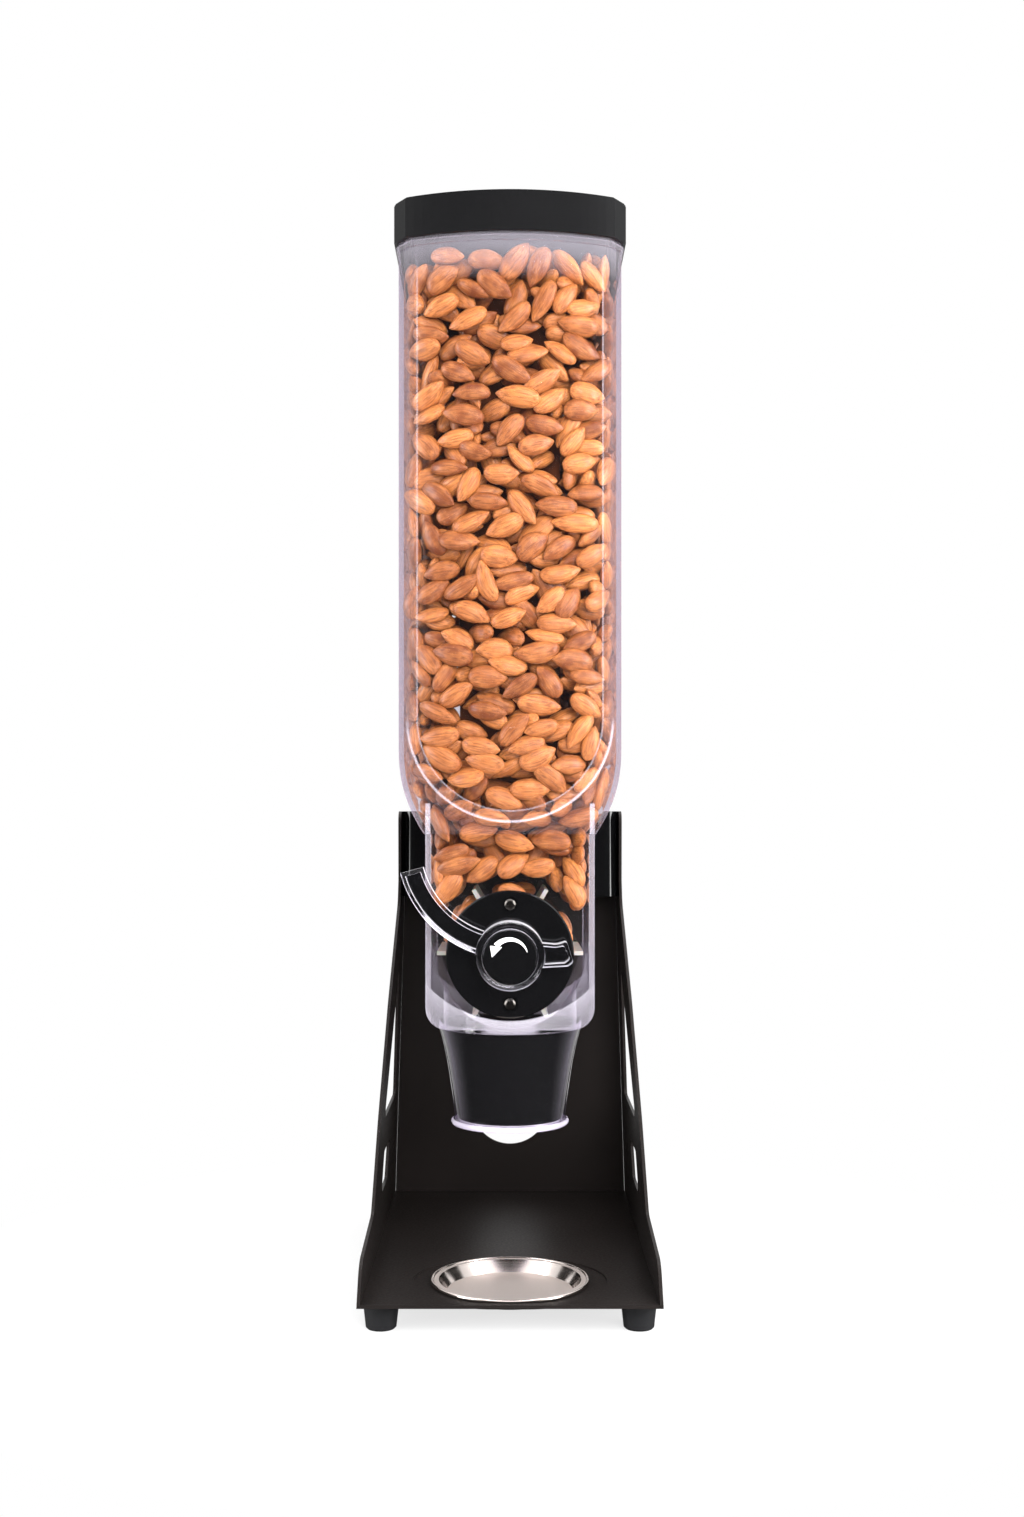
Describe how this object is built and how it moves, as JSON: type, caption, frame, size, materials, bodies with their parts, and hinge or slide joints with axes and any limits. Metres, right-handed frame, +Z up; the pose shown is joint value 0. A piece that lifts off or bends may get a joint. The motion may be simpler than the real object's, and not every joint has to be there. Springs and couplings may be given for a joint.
{
  "type": "gravity bulk food bin",
  "caption": "Tall clear hopper with a lift-off lid, a hand-turned portion wheel, a round spout and a drip tray, on a folded steel stand.",
  "frame": {"origin": "middle of the footprint's bounding box, on the floor under the feet", "axes": "+X to the right seen from the front, +Y to the back, +Z up"},
  "size_m": [0.18, 0.317, 0.668],
  "materials": {
    "powder_coat": "fine black powder coat, semi-gloss",
    "foot_rubber": "matt moulded rubber",
    "zinc_steel": "bright zinc-plated steel",
    "gloss_black": "glossy moulded ABS",
    "black_screw": "blackened steel",
    "stainless": "satin stainless steel",
    "clear_plastic": "clear moulded polycarbonate",
    "satin_black": "satin moulded ABS",
    "seal_rubber": "soft silicone",
    "bush_plastic": "acetal",
    "hub_plastic": "moulded nylon",
    "vane_silicone": "translucent white silicone",
    "white_ink": "white print"
  },
  "bodies": {
    "stand": {"base_plate": "powder_coat", "back_panel": "powder_coat", "side_panel_left": "powder_coat", "side_panel_right": "powder_coat", "feet": "foot_rubber", "foot_studs": "zinc_steel", "hopper_cradle": "gloss_black", "cradle_screws": "black_screw"},
    "tray": {"tray": "stainless"},
    "hopper": {"hopper": "clear_plastic", "wheel_housing": "clear_plastic", "face_disc": "gloss_black", "disc_screws": "black_screw", "front_bush": "bush_plastic", "rear_bush": "bush_plastic", "rear_cap": "gloss_black", "spout_shell": "clear_plastic", "spout_liner": "gloss_black"},
    "lid": {"lid": "satin_black", "lid_seal": "seal_rubber"},
    "portion_wheel": {"drive_shaft": "zinc_steel", "wheel_hub": "hub_plastic", "wheel_vanes": "vane_silicone", "shaft_clip": "zinc_steel", "handle": "clear_plastic", "handle_screw": "zinc_steel", "handle_cap": "gloss_black", "arrow_mark": "white_ink"}
  },
  "joints": [
    {"name": "hopper_lift", "type": "slide", "parent": "stand", "child": "hopper", "axis": [0, 0, 1], "range_m": [0, 0.12]},
    {"name": "lid_lift", "type": "slide", "parent": "hopper", "child": "lid", "axis": [0, 0, 1], "range_m": [0, 0.08]},
    {"name": "wheel_turn", "type": "hinge", "parent": "hopper", "child": "portion_wheel", "pos_m": [0, -0.09395, 0.224], "axis": [0, -1, 0], "continuous": true},
    {"name": "tray_lift", "type": "slide", "parent": "stand", "child": "tray", "axis": [0, 0, 1], "range_m": [0, 0.05]}
  ]
}
